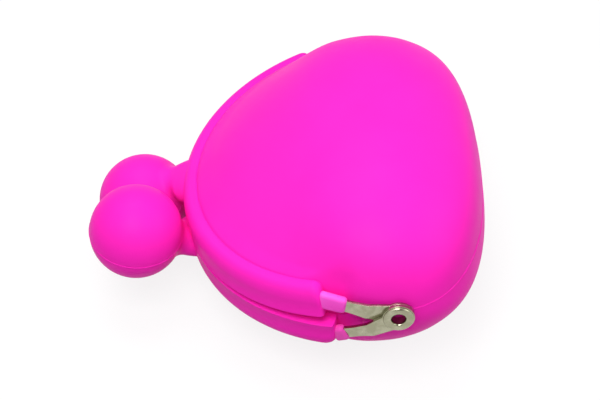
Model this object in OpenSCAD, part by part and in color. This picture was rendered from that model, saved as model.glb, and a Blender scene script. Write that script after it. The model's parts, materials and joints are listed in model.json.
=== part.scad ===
// Silicone coin purse with a two-part metal frame and a snap clasp, lying on its back.
// The purse frame has its origin at the middle of the hinge axis: X runs to the base, away from
// the clasp, Y runs along the hinge axis and Z points out of the front wall.

/* [Rim] */
// Outer radius of the arch that the mouth follows, seen from the front
rim_radius = 48.5; // [40:0.5:60]
// Distance from the hinge axis to the centre of that arch, towards the clasp
arch_offset = 4; // [0:0.5:10]
// Width of the silicone rim, across the arch
rim_width = 4.7; // [4:0.1:7]
// Height of one rim, from the closing face to its top
rim_height = 8.6; // [7:0.1:12]
// Rounding of the rim's edges
rim_edge = 1.4; // [0.4:0.1:2]
// Height by which the rim stands proud of the pouch wall beside it
rim_proud = 0.8; // [0.2:0.1:2]
// Half of the angle that the front rim spans on the arch
front_half_angle = 73; // [60:0.2:77]
// Half of the angle that the back rim spans on the arch
back_half_angle = 75.4; // [60:0.2:77]
// Gap between the two rims at the clasp
rim_gap_clasp = 0.3; // [0.2:0.1:1]
// Gap between the two rims at their ends, near the hinges
rim_gap_hinge = 3; // [1:0.1:5]

/* [Pouch] */
// Thickness of the silicone wall
wall = 1.8; // [1.2:0.1:3]
// How far the pouch bulges sideways past the rims' inner edges, beside the hinges
side_bulge = 4.4; // [2:0.1:8]
// How square the pouch is across: 2 is an ellipse, more is squarer
squareness = 2.4; // [2:0.05:3]
// Distance from the hinge axis to the base
reach_base = 24; // [20:0.5:32]
// Distance from the hinge axis to the wall, 30 degrees round from the base
reach_30 = 25.5; // [20:0.5:34]
// Distance from the hinge axis to the wall, 60 degrees round from the base
reach_60 = 25.2; // [20:0.5:34]
// Distance from the hinge axis to the wall, 90 degrees round from the base
reach_90 = 26.4; // [20:0.5:34]
// Distance from the hinge axis to the wall, 120 degrees round from the base
reach_120 = 30.2; // [24:0.5:38]
// Distance from the hinge axis to the wall, 150 degrees round from the base
reach_150 = 38.2; // [30:0.5:46]
// Distance from the hinge axis that the wall would have at 180 degrees, had it no rim
reach_180 = 56; // [46:0.5:68]

/* [Clasp] */
// Diameter of a knob
knob_d = 24; // [18:0.5:30]
// Thickness of the silicone over a knob's core
knob_cover = 2.5; // [1.5:0.1:4]
// Gap between a knob and the rims' outer face
knob_rim_gap = 0.4; // [0.3:0.1:2]
// Gap between the two knobs at rest
knob_gap = 0.4; // [0.3:0.1:1]
// How much the knobs overlap, seen along the closing plane, so that they snap past each other
knob_snap = 1.8; // [0.5:0.1:4]
// Diameter of a clasp stem
stem_d = 3.2; // [2:0.1:5]
// Radius of the silicone neck where it meets the rim
neck_r = 3.8; // [3:0.1:6]

/* [Frame] */
// Thickness of the metal strip
strip_t = 0.8; // [0.6:0.05:1.2]
// Width of the metal strip
strip_w = 3.4; // [3:0.1:4.4]
// Depth of the strip's middle under the rim's outer face
strip_depth = 1.9; // [1.5:0.1:2.5]
// Radius of the eye at the end of each leg
eye_r = 4; // [3.2:0.1:5]
// Width of a leg where it meets its eye
leg_root_w = 5.9; // [4:0.1:7]
// Distance by which a leg's middle line passes the hinge axis, on its own half's side
leg_offset = 0.4; // [0:0.1:2]
// Length of leg that stays in the plane of its eye, from the hinge axis
eye_flat = 7.9; // [5.6:0.1:9]
// Distance from the hinge axis at which a leg has narrowed to the strip's width
taper_end = 12; // [9:0.1:14]
// Play round the strip in the rim's channel and in the sleeves
strip_play = 0.1; // [0.05:0.01:0.2]

/* [Hinge] */
// Bore of the hollow rivet
rivet_bore_d = 3.5; // [3:0.1:4.4]
// Wall of the rivet's barrel
rivet_wall = 0.35; // [0.25:0.05:0.6]
// Diameter of the rivet's rolled outer flange
flange_d = 7.6; // [6.8:0.1:9]
// Height of the rolled outer flange
flange_h = 0.8; // [0.5:0.1:1.2]
// Diameter of the rivet's flat inner flange
inner_flange_d = 6.2; // [5.6:0.1:8]
// Thickness of the flat inner flange
inner_flange_h = 0.35; // [0.25:0.05:0.6]
// Running clearance of the front eyes, round the rivets and beside them
run = 0.05; // [0.02:0.01:0.1]
// Distance from the pouch to the rivets' inner flanges
hinge_gap = 0.3; // [0.2:0.1:1]

/* [Sleeves] */
// Distance from the hinge axis to the front sleeves' tips
front_sleeve_tip = 12.7; // [12:0.1:15]
// Distance from the hinge axis to the back sleeves' tips
back_sleeve_tip = 14.1; // [12:0.1:15]
// Thickness of a sleeve, across the leg's flat faces
sleeve_t = 2.4; // [2:0.1:3.2]
// Width of a sleeve, along the leg's width
sleeve_w = 4.9; // [4.7:0.1:6.4]
// Rounding of a sleeve's edges
sleeve_edge = 0.6; // [0.2:0.1:1]

/* [Motion] */
// Angle through which the front half opens
open_angle = 40; // [20:1:45]
// Angle round from the base at which the front wall starts to buckle
fold_start = 88; // [70:1:92]

/* [Hidden] */
$fn = 64;
silicone = "#ff33cc";
pale_silicone = "#ff66e0";
steel = "#b3b3a3";
core_colour = "#d9d9d9";

// Numbers of columns across the pouch and of rings round each of its pieces
columns = 40;
body_rings = 44;
fold_rings = 6;
front_rings = 8;
// The front wall's pieces and the webs start this many columns from the hinges
first_column = 2;
// Corner points of a rounded edge
edge_steps = 5;
// Clearance between neighbours on one body, and between soft pieces on two bodies
snug = 0.05;
clear = 0.3;
// Angle from the closing plane at which the walls end beside the hinges
mouth_edge_angle = 3;
// Angle that a side web leaves free of each wall
web_play = 0.7;
// Angle round from the base at which the walls begin to turn in to the rims
turn_in = 100;
// Angle past which the walls beside the hinges keep their reach
side_turn = 142;

crown_x = -arch_offset - rim_radius;
rim_inner_radius = rim_radius - rim_width;
strip_radius = rim_radius - strip_depth;
rim_end_x = -arch_offset - rim_radius * cos(front_half_angle);
rim_tilt = atan((rim_gap_hinge - rim_gap_clasp) / 2 / (rim_end_x - crown_x));
fold_end = fold_start + open_angle + 4;

// From the arch's own frame, its centre in the closing face, to the purse frame
function from_arch(p) = let (x = p[0] + rim_radius)
    [crown_x + x * cos(rim_tilt) - p[2] * sin(rim_tilt), p[1],
     rim_gap_clasp / 2 + x * sin(rim_tilt) + p[2] * cos(rim_tilt)];

// Wall reach by a smooth curve through the named reaches, every 30 degrees
reaches = [reach_30, reach_base, reach_30, reach_60, reach_90, reach_120, reach_150, reach_180,
    2 * reach_180 - reach_150];
function smooth_through(a, b, c, d, u) = b + u * (c - a) / 2
    + u * u * (a - 2.5 * b + 2 * c - d / 2) + u * u * u * (1.5 * (b - c) + (d - a) / 2);
function reach(phi) = let (k = min(5, floor(abs(phi) / 30)), u = abs(phi) / 30 - k)
    smooth_through(reaches[k], reaches[k + 1], reaches[k + 2], reaches[k + 3], u);
function ease(u) = let (c = max(0, min(1, u))) c * c * (3 - 2 * c);

// Columns run across the pouch at a constant Y, each a share of the width and of the reach
function column_y(j) = let (c = -cos(180 * j / columns)) sign(c) * abs(c) ^ (2 / squareness);
function column_reach(j) = abs(sin(180 * j / columns)) ^ (2 / squareness);
half_width = rim_inner_radius * sin(front_half_angle) + side_bulge;
function share_at(y) = max(0, 1 - (abs(y) / half_width) ^ squareness) ^ (1 / squareness);

// Where a column's wall ends: at the rim's inner edge, or beside the hinge near the closing plane.
// It is given as the distance from the hinge axis, the angle, and the angle that the reach stops at
wall_end_radius = rim_inner_radius - snug;
function corner_y(half_angle) = wall_end_radius * sin(half_angle);
function column_end(j, half_angle) = let (y = half_width * column_y(j), side_y = corner_y(half_angle),
        corner = from_arch([-wall_end_radius * cos(half_angle), 0, 0]))
    abs(y) < side_y
    ? let (p = from_arch([-sqrt(wall_end_radius ^ 2 - y ^ 2), y, rim_height - rim_proud]),
        phi = atan2(p[2], p[0])) [norm([p[0], p[2]]), phi, phi]
    : [-corner[0] * share_at(y) / share_at(side_y), 180 - mouth_edge_angle, side_turn];
front_ends = [for (j = [0:columns]) column_end(j, front_half_angle)];
back_ends = [for (j = [0:columns]) column_end(j, back_half_angle)];

// A point of the outer or inner face of the wall; past 180 degrees lies the back wall again
function column_radius(j, phi) = let (p = abs(phi) > 180 ? 360 - abs(phi) : abs(phi),
        own = column_reach(j), end = phi < 0 || phi > 180 ? back_ends[j] : front_ends[j])
    reach(min(p, end[2])) * own
    + (end[0] - reach(end[2]) * own) * ease((p - turn_in) / (end[1] - turn_in));
function wall_point(j, phi, inner) = let (p = abs(phi) > 180 ? 360 - abs(phi) : abs(phi),
        r = column_radius(j, phi) * (inner ? 1 - wall / reach(p) : 1),
        w = inner ? half_width - wall : half_width)
    [r * cos(phi), w * column_y(j), r * sin(phi)];

// Triangles of a closed sheet: outer grid, inner grid and the four edges between them
function quad(a, b, c, d, flip) = flip ? [[a, c, b], [a, d, c]] : [[a, b, c], [a, c, d]];
function sheet_faces(rows, cols) = let (n = rows * cols)
    [for (i = [0:rows - 2], j = [0:cols - 2], side = [0, 1])
        let (a = side * n + i * cols + j)
        each quad(a, a + 1, a + cols + 1, a + cols, side == 0),
     for (j = [0:cols - 2], far = [0, 1])
        let (a = far * (rows - 1) * cols + j)
        each quad(a, a + 1, n + a + 1, n + a, far == 1),
     for (i = [0:rows - 2], far = [0, 1])
        let (a = i * cols + far * (cols - 1))
        each quad(a, a + cols, n + a + cols, n + a, far == 0)];

// A piece of the wall between two columns, from one angle to another; 999 is the column's own end
rim_end = 999;
function bound(j, phi) = phi == rim_end ? front_ends[j][1] : phi == -rim_end ? -back_ends[j][1] : phi;
module wall_piece(from, to, rings, first, last) {
    grid = [for (inner = [false, true], i = [0:rings], j = [first:last])
        wall_point(j, bound(j, from) + (bound(j, to) - bound(j, from)) * i / rings, inner)];
    polyhedron(grid, sheet_faces(rings + 1, last - first + 1));
}

// The lowest point of the back wall and of the front knob, tilted clasp end down by an angle
profile = [for (i = [0:body_rings]) wall_point(columns / 2, -back_ends[columns / 2][1]
    + (fold_start + back_ends[columns / 2][1]) * i / body_rings, false)];
knob_reach = arch_offset + rim_radius + knob_d / 2 + knob_rim_gap;
knob_spread = knob_d - knob_snap;
knob_cross = sqrt((knob_d + knob_gap) ^ 2 - knob_spread ^ 2);
knob_front = [-knob_reach, knob_spread / 2, -knob_cross / 2];
knob_back = [-knob_reach, -knob_spread / 2, knob_cross / 2];
function drop(p, tilt) = p[0] * sin(tilt) + p[2] * cos(tilt);
function along(p, tilt) = p[0] * cos(tilt) - p[2] * sin(tilt);
function pouch_low(tilt) = min([for (p = profile) drop(p, tilt)]);
function knob_low(tilt) = drop(knob_front, tilt) - knob_d / 2;
function level(low, high, tries) = let (mid = (low + high) / 2) tries == 0 ? mid
    : knob_low(mid) > pouch_low(mid) ? level(mid, high, tries - 1) : level(low, mid, tries - 1);
rest_tilt = level(0, 40, 30);
rest_lift = -pouch_low(rest_tilt);
rest_shift = -(max([for (p = profile) along(p, rest_tilt)])
    + along(knob_back, rest_tilt) - knob_d / 2) / 2;

// The purse at rest: it lies on its back wall and its front knob
module at_rest() {
    translate([rest_shift, 0, rest_lift]) rotate([0, -rest_tilt, 0]) children();
}
// The back half is the front half turned over about the X axis
module back_half() {
    at_rest() rotate([180, 0, 0]) children();
}
module arch_frame() {
    translate([crown_x, 0, rim_gap_clasp / 2]) rotate([0, -rim_tilt, 0])
        translate([rim_radius, 0, 0]) children();
}

function rounded_rectangle(w, h, r) = [for (q = [0:3], i = [0:edge_steps])
    let (a = 90 * (q + i / edge_steps), s = [[1, 1], [-1, 1], [-1, -1], [1, -1]][q])
    [s[0] * (w / 2 - r) + r * cos(a), s[1] * (h / 2 - r) + r * sin(a)]];
module arch_sweep(radius, half_angle) {
    rotate([0, 0, 180 - half_angle]) rotate_extrude(angle = 2 * half_angle, $fn = 180)
        translate([radius, 0]) children();
}

// Stem axis of the front half, from the strip to the knob's centre
stem_turn = atan2(knob_front[1], knob_reach - arch_offset);
stem_foot = from_arch([-strip_radius * cos(stem_turn), strip_radius * sin(stem_turn), rim_height / 2]);
stem_axis = stem_foot - knob_front;
module along_stem() {
    translate(knob_front) rotate([0, 0, atan2(stem_axis[1], stem_axis[0])])
        rotate([0, atan2(norm([stem_axis[0], stem_axis[1]]), stem_axis[2]), 0]) children();
}

module rim(eye_y, half_angle) {
    channel = [strip_t + strip_play, strip_w + strip_play];
    difference() {
        arch_frame() difference() {
            arch_sweep(rim_radius - rim_width / 2, half_angle)
                translate([0, rim_height / 2]) polygon(rounded_rectangle(rim_width, rim_height, rim_edge));
            arch_sweep(strip_radius, half_angle + 5)
                translate([0, rim_height / 2]) square(channel, center = true);
        }
        for (side = [0, 1]) mirror([0, side, 0]) toed_frame(eye_y, half_angle)
            translate([toed_length(eye_y, half_angle), 0, 0])
                cube([rim_width, channel[0] + strip_play, channel[1] + strip_play], center = true);
        along_stem() cylinder(d = stem_d + strip_play, h = norm(stem_axis));
    }
}

// Leaves lie in planes stacked outwards from the pouch: the front eyes first, then the back ones
inner_flange_y = half_width + hinge_gap;
front_eye_y = inner_flange_y + inner_flange_h + run + strip_t / 2;
back_eye_y = front_eye_y + strip_t + run;
flange_y = back_eye_y + strip_t / 2;

// A leg runs from its eye to the strip's end in the rim, along a line that passes the hinge axis
// on its own half's side
function leg_foot(half_angle) = from_arch([-strip_radius * cos(half_angle), strip_radius * sin(half_angle),
    rim_height / 2]);
function foot_reach(half_angle) = let (p = leg_foot(half_angle)) norm([p[0], p[2]]);
function leg_slope(half_angle) = let (p = leg_foot(half_angle))
    atan2(p[2], -p[0]) - asin(leg_offset / foot_reach(half_angle));
function leg_span(half_angle) = sqrt(foot_reach(half_angle) ^ 2 - leg_offset ^ 2);
function toe(eye_y, half_angle) = atan2(eye_y - leg_foot(half_angle)[1], leg_span(half_angle) - eye_flat);
function toed_length(eye_y, half_angle) = (leg_span(half_angle) - eye_flat) / cos(toe(eye_y, half_angle));
bend_w = leg_root_w + (strip_w - leg_root_w) * eye_flat / taper_end;

// The leg's own frame: X from the hinge towards the rim, Y outwards, Z across the leg's width
module leg_frame(half_angle) {
    rotate([0, 180 + leg_slope(half_angle), 0]) children();
}
module toed_frame(eye_y, half_angle) {
    leg_frame(half_angle) translate([eye_flat, eye_y, -leg_offset])
        rotate([0, 0, -toe(eye_y, half_angle)]) children();
}

module leg(eye_y, bore_r, half_angle) {
    length = toed_length(eye_y, half_angle);
    taper = taper_end - eye_flat;
    difference() {
        union() {
            leg_frame(half_angle) translate([0, eye_y + strip_t / 2, 0]) rotate([90, 0, 0])
                linear_extrude(strip_t) {
                    circle(eye_r);
                    translate([0, -leg_offset]) polygon([[0, -leg_root_w / 2], [eye_flat, -bend_w / 2],
                        [eye_flat, bend_w / 2], [0, leg_root_w / 2]]);
                }
            toed_frame(eye_y, half_angle) {
                cylinder(d = strip_t, h = bend_w, center = true);
                translate([0, strip_t / 2, 0]) rotate([90, 0, 0]) linear_extrude(strip_t)
                    polygon([[0, -bend_w / 2], [taper, -strip_w / 2], [length, -strip_w / 2],
                        [length, strip_w / 2], [taper, strip_w / 2], [0, bend_w / 2]]);
                translate([length, 0, 0]) cylinder(d = strip_t, h = strip_w, center = true);
            }
        }
        translate([0, eye_y, 0]) rotate([90, 0, 0]) cylinder(r = bore_r, h = 2 * strip_t, center = true);
    }
}

// Each half's strip is cut here into the arch inside the rim and the legs that begin at its ends.
// A leg slopes away from the arch, so the arch stops short by what the leg's round end leans over.
module frame_arch(half_angle) {
    lean_over = strip_w / 2 * sin(leg_slope(half_angle) + rim_tilt);
    arch_frame() arch_sweep(strip_radius, half_angle - asin((strip_t / 2 + lean_over + snug) / strip_radius))
        translate([0, rim_height / 2]) square([strip_t, strip_w], center = true);
}
module frame_legs(eye_y, bore_r, half_angle) {
    for (side = [0, 1]) mirror([0, side, 0]) leg(eye_y, bore_r, half_angle);
}

// The space past the cut face of the rim's end, on the rim's side
module past_rim_end(half_angle, depth) {
    arch_frame() rotate([0, 0, 180 - half_angle])
        translate([strip_radius - sleeve_w, -snug, -rim_height / 2])
        cube([2 * sleeve_w, depth, 2 * rim_height]);
}

module sleeve(eye_y, half_angle, tip) {
    length = leg_span(half_angle) - tip;
    slot = [strip_t + strip_play, strip_w + strip_play];
    difference() {
        toed_frame(eye_y, half_angle) translate([toed_length(eye_y, half_angle) - length, 0, 0])
            rotate([90, 0, 90]) linear_extrude(length + rim_edge) difference() {
                polygon(rounded_rectangle(sleeve_t, sleeve_w, sleeve_edge));
                square(slot, center = true);
            }
        past_rim_end(half_angle, 2 * length);
    }
}

// A knob's pieces turn round the stem's axis, from the knob's centre to the stem's foot in the rim
core_r = knob_d / 2 - knob_cover;
stem_length = norm(stem_axis);
module half_disc(r) {
    intersection() {
        circle(r);
        translate([0, -r]) square([r, 2 * r]);
    }
}
module stem() {
    difference() {
        along_stem() cylinder(d = stem_d, h = stem_length);
        arch_frame() cylinder(r = strip_radius + strip_t / 2 + snug, h = rim_height);
    }
}
module knob_core() {
    along_stem() rotate_extrude() difference() {
        half_disc(core_r);
        square([stem_d / 2 + strip_play / 2, knob_d]);
    }
}
module knob() {
    difference() {
        along_stem() rotate_extrude() difference() {
            union() {
                half_disc(knob_d / 2);
                square([neck_r, stem_length]);
            }
            half_disc(core_r + strip_play / 2);
            square([stem_d / 2 + strip_play / 2, stem_length + strip_play]);
        }
        arch_frame() {
            cylinder(r = rim_radius + snug, h = 3 * rim_height, center = true);
            translate([0, 0, -2 * rim_height]) cylinder(r = rim_radius + clear, h = 2 * rim_height);
        }
    }
}

module rivet() {
    barrel_r = rivet_bore_d / 2 + rivet_wall;
    roll = flange_h / 2;
    rotate([-90, 0, 0]) rotate_extrude()
        polygon([[rivet_bore_d / 2, inner_flange_y], [inner_flange_d / 2, inner_flange_y],
            [inner_flange_d / 2, inner_flange_y + inner_flange_h],
            [barrel_r, inner_flange_y + inner_flange_h], [barrel_r, flange_y], [flange_d / 2, flange_y],
            for (i = [0:edge_steps]) let (a = 90 * i / edge_steps)
                [flange_d / 2 - roll + roll * cos(a), flange_y + roll + roll * sin(a)],
            for (i = [0:edge_steps]) let (a = 90 + 90 * i / edge_steps)
                [rivet_bore_d / 2 + roll + roll * cos(a), flange_y + roll + roll * sin(a)]]);
}

rivet_hole_r = rivet_bore_d / 2 + rivet_wall;
module pouch_body() {
    color(silicone) at_rest() wall_piece(-rim_end, fold_start, body_rings, 1, columns - 1);
}
module pouch_fold() {
    color(silicone) at_rest()
        wall_piece(fold_start + snug, fold_end - web_play, fold_rings, first_column, columns - first_column);
}
module pouch_front() {
    color(silicone) at_rest()
        wall_piece(fold_end, rim_end, front_rings, first_column, columns - first_column);
}
module side_gussets() {
    beside_hinge = [for (j = [first_column:columns / 2])
        if (half_width * abs(column_y(j)) >= corner_y(back_half_angle)) j];
    spread = mouth_edge_angle - web_play;
    color(silicone) at_rest() for (side = [0, 1]) mirror([0, side, 0])
        wall_piece(180 - spread, 180 + spread, 2, first_column, max(beside_hinge));
}
module front_rim() { color(silicone) at_rest() rim(front_eye_y, front_half_angle); }
module back_rim() { color(silicone) back_half() rim(back_eye_y, back_half_angle); }
module front_frame_arch() { color(steel) at_rest() frame_arch(front_half_angle); }
module front_frame_legs() {
    color(steel) at_rest() frame_legs(front_eye_y, rivet_hole_r + run, front_half_angle);
}
module back_frame_arch() { color(steel) back_half() frame_arch(back_half_angle); }
module back_frame_legs() {
    color(steel) back_half() frame_legs(back_eye_y, rivet_hole_r, back_half_angle);
}
module front_stem() { color(steel) at_rest() stem(); }
module back_stem() { color(steel) back_half() stem(); }
module front_knob_core() { color(core_colour) at_rest() knob_core(); }
module back_knob_core() { color(core_colour) back_half() knob_core(); }
module front_knob() { color(silicone) at_rest() knob(); }
module back_knob() { color(silicone) back_half() knob(); }
// Left is the far side in the purse frame, +Y
module far_front_sleeve() {
    color(pale_silicone) sleeve(front_eye_y, front_half_angle, front_sleeve_tip);
}
module near_back_sleeve() {
    color(pale_silicone) sleeve(back_eye_y, back_half_angle, back_sleeve_tip);
}
module front_sleeve_left() { at_rest() far_front_sleeve(); }
module front_sleeve_right() { at_rest() mirror([0, 1, 0]) far_front_sleeve(); }
module back_sleeve_left() { back_half() mirror([0, 1, 0]) near_back_sleeve(); }
module back_sleeve_right() { back_half() near_back_sleeve(); }
module hinge_rivet_left() { color(steel) at_rest() rivet(); }
module hinge_rivet_right() { color(steel) at_rest() mirror([0, 1, 0]) rivet(); }

pouch_body();
pouch_fold();
pouch_front();
side_gussets();
front_rim();
back_rim();
front_frame_arch();
front_frame_legs();
back_frame_arch();
back_frame_legs();
front_stem();
back_stem();
front_knob_core();
back_knob_core();
front_knob();
back_knob();
front_sleeve_left();
front_sleeve_right();
back_sleeve_left();
back_sleeve_right();
hinge_rivet_left();
hinge_rivet_right();
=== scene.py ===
"""Silicone coin purse with a hinged metal frame and two snap knobs, lying closed on its back."""

import json
import math

import bpy
from bpy.props import FloatProperty, FloatVectorProperty, PointerProperty
from mathutils import Matrix, Vector


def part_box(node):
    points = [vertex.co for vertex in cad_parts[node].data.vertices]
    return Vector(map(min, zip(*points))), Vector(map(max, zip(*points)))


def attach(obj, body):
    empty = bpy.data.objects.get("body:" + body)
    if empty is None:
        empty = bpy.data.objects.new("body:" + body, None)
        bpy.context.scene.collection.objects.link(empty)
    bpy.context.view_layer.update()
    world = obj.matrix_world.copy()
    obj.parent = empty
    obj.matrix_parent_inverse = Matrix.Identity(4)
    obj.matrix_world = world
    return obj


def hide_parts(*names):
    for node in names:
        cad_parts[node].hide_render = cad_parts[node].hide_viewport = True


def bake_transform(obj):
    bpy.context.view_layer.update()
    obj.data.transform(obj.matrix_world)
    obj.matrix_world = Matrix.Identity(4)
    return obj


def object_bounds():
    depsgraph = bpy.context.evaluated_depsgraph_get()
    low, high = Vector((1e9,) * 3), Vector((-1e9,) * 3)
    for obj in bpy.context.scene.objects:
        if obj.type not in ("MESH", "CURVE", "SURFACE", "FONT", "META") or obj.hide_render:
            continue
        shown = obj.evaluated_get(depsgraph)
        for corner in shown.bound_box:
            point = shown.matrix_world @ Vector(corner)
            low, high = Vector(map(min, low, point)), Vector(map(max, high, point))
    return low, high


bl_info = {
    "name": "Silicone Coin Purse",
    "version": (1, 0, 0),
    "blender": (4, 5, 0),
    "location": "View3D > Sidebar > Coin Purse",
    "description": "Builds a moulded silicone coin purse round its metal frame",
    "category": "Add Mesh",
}

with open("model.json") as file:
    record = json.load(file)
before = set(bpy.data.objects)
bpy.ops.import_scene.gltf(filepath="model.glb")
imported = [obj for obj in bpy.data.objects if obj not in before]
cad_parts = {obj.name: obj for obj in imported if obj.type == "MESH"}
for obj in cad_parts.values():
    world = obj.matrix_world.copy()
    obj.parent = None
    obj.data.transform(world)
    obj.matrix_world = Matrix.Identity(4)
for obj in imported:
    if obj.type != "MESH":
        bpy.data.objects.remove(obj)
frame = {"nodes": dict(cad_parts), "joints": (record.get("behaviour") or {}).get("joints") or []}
cad_low, cad_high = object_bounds()

MM = 0.001
BACK = "back_half"
FRONT = "front_half"
# Vertices closer than this are merged where a mesh is closed
SEAM = 0.01 * MM


def middle(node):
    """The middle of a CAD node's box."""
    low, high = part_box(node)
    return (low + high) / 2


# The purse frame has its origin at the middle of the hinge axis, X to the base of the pouch, Y along
# the hinge axis and Z out of the front wall. It is found from the hinge and the two knobs' cores.
hinge_middle = Vector(frame["joints"][0]["pos_m"])
to_clasp = (middle("front_knob_core") + middle("back_knob_core")) / 2 - hinge_middle
REST_TILT = math.atan2(-to_clasp.z, -to_clasp.x)
PURSE = Matrix.Translation(hinge_middle) @ Matrix.Rotation(-REST_TILT, 4, "Y")
HALF = {FRONT: PURSE, BACK: PURSE @ Matrix.Rotation(math.pi, 4, "X")}


def length(name, description, default, high=0.2):
    """A size in metres, written in millimetres."""
    return FloatProperty(name=name, description=description, default=default * MM, min=0, max=high,
                         unit="LENGTH", precision=5)


def angle(name, description, default):
    """An angle, written in degrees."""
    return FloatProperty(name=name, description=description, default=math.radians(default),
                         min=-math.pi, max=math.pi, subtype="ANGLE")


def power(name, description, default):
    """The power of a light, in watts."""
    return FloatProperty(name=name, description=description, default=default, min=0, subtype="POWER")


def colour(name, description, default):
    return FloatVectorProperty(name=name, description=description, default=default, size=3,
                               min=0, max=1, subtype="COLOR")


class PURSE_PG_pouch(bpy.types.PropertyGroup):
    """Sizes of the moulded pouch."""
    wall: length("Wall", "Thickness of the silicone wall", 1.8)
    half_width: length("Half width", "Half of the pouch's width", 46.29)
    squareness: FloatProperty(name="Squareness", description="2 is an ellipse across, more is squarer",
                              default=2.4, min=2, max=4)
    # The wall turns in to the rim before it comes to the last reach
    reaches: FloatVectorProperty(
        name="Reaches", size=7, min=0, unit="LENGTH", precision=5,
        description="Distances from the hinge axis to the wall, every 30 degrees round from the base",
        default=tuple(reach * MM for reach in (24, 25.5, 25.2, 26.4, 30.2, 38.2, 56)))
    turn_in: angle("Turn in", "Where the walls begin to turn in to the rims", 100)
    side_turn_in: angle("Side turn in", "The same beside the rims' ends", 122)
    side_turn: angle("Side turn", "Where the walls beside the hinges keep their reach", 142)
    side_ease: length("Side ease", "Width over which the wall leaves the rim's end", 5)
    valley_width: length("Valley width", "Width of the valley where wall meets rim", 5)
    valley_rise: length("Valley rise", "Rise of the wall to the rim there", 0.7)
    line_width: length("Parting line width", "Width of the raised mould lines", 0.46)
    line_proud: length("Parting line height", "Height of the raised mould lines", 0.13)
    web_thickness: length("Web thickness", "Thickness of the webs beside the hinges", 0.9)
    web_height: length("Web height", "Height of a web over the closing plane", 3.2)
    flex_start: length("Flex start", "Start of the front wall's bend, past the hinge axis", 18)
    flex_end: length("Flex end", "End of the front wall's bend, before the hinge axis", 24)


class PURSE_PG_rims(bpy.types.PropertyGroup):
    """Sizes of the two rims."""
    radius: length("Radius", "Outer radius of the mouth's arch", 48.5)
    offset: length("Offset", "From the hinge axis to the arch's centre", 4)
    width: length("Width", "Width of a rim, across the arch", 4.7)
    height: length("Height", "Height of a rim, from its closing face", 8.6)
    crown: length("Crown", "Width of the rounding of a rim's outer face", 2.6)
    crown_height: length("Crown height", "Height of that rounding", 4.4)
    edge: length("Edge", "Rounding of a rim's inner edge", 1.0)
    foot: length("Foot", "Rounding of the edges at the closing face", 0.3)
    lip: length("Lip", "Thickness of the lip round the closing face", 0.18)
    lip_height: length("Lip height", "Height of the lip's top", 0.5)
    front_end: length("Front end", "Rounding of the front rim's ends, from the side", 2.4)
    back_end: length("Back end", "Rounding of the back rim's ends, from the side", 4.0)
    end_side: length("End side", "Rounding of the rims' ends, from above", 0.9)
    proud: length("Proud", "Height of a rim over the wall beside it", 0.8)
    tuck: length("Tuck", "Depth of the wall's edge in the rim", 0.6)
    gap_clasp: length("Gap at the clasp", "Gap between the rims at the clasp", 0.3)
    gap_hinge: length("Gap at the hinges", "Gap between the rims at their ends", 3)
    front_half_angle: angle("Front half angle", "Half of the front rim's angle", 73)
    back_half_angle: angle("Back half angle", "Half of the back rim's angle", 75.4)
    strip_depth: length("Strip depth", "Depth of the metal strip's middle in the rim", 1.9)


class PURSE_PG_clasp(bpy.types.PropertyGroup):
    """Sizes of the knobs."""
    knob_radius: length("Knob radius", "Radius of a knob", 12)
    neck_radius: length("Neck radius", "Radius of a knob's neck", 3.9)
    ball_fillet: length("Ball fillet", "Radius of the hollow between ball and neck", 4.5)
    neck_inner: length("Neck inner half width", "Half width of the neck towards the other knob", 8.0)
    root_outer_width: length("Root outer width", "Spread of the neck's root, outwards", 3.6)
    root_inner_width: length("Root inner width", "Spread of the neck's root, inwards", 10.5)
    root_half_height: length("Root half height", "Half of the neck's height at its root", 3.9)
    root_sink: length("Root sink", "Depth of the neck's root in the rim", 1.6)
    line_lean: angle("Parting line lean", "Lean of the mould line about the hinge axis", -13)
    line_roll: angle("Parting line roll", "Lean of the mould line to the side", 7)


class PURSE_PG_hinge(bpy.types.PropertyGroup):
    """Sizes of the legs, sleeves and rivets."""
    strip_thickness: length("Strip thickness", "Thickness of the metal strip", 0.8)
    strip_edge: length("Strip edge", "Rounding of the stamped edges", 0.14)
    leg_offset: length("Leg offset", "From a leg's middle line to the hinge axis", 0.4)
    eye_flat: length("Eye flat", "Length of leg in the plane of its eye", 7.9)
    bore_radius: length("Bore radius", "Radius of a rivet's bore", 1.75)
    rivet_wall: length("Rivet wall", "Wall of a rivet's barrel", 0.35)
    flange_radius: length("Flange radius", "Radius of the rolled outer flange", 3.8)
    flange_height: length("Flange height", "Height of the rolled outer flange", 0.8)
    flange_edge: length("Flange edge", "Height of its straight edge, under the rounding", 0.15)
    inner_flange_radius: length("Inner flange radius", "Radius of the flat inner flange", 3.1)
    inner_flange_height: length("Inner flange height", "Thickness of the inner flange", 0.35)
    sleeve_thickness: length("Sleeve thickness", "Thickness of a sleeve", 2.4)
    sleeve_width: length("Sleeve width", "Width of a sleeve", 4.9)
    sleeve_edge: length("Sleeve edge", "Rounding of a sleeve's edges", 1.0)
    sleeve_root: length("Sleeve root", "Depth of a sleeve's root in the rim's end", 1.0)
    front_sleeve_tip: length("Front sleeve tip", "From the hinge axis to the front tips", 12.7)
    back_sleeve_tip: length("Back sleeve tip", "From the hinge axis to the back tips", 14.1)


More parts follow.
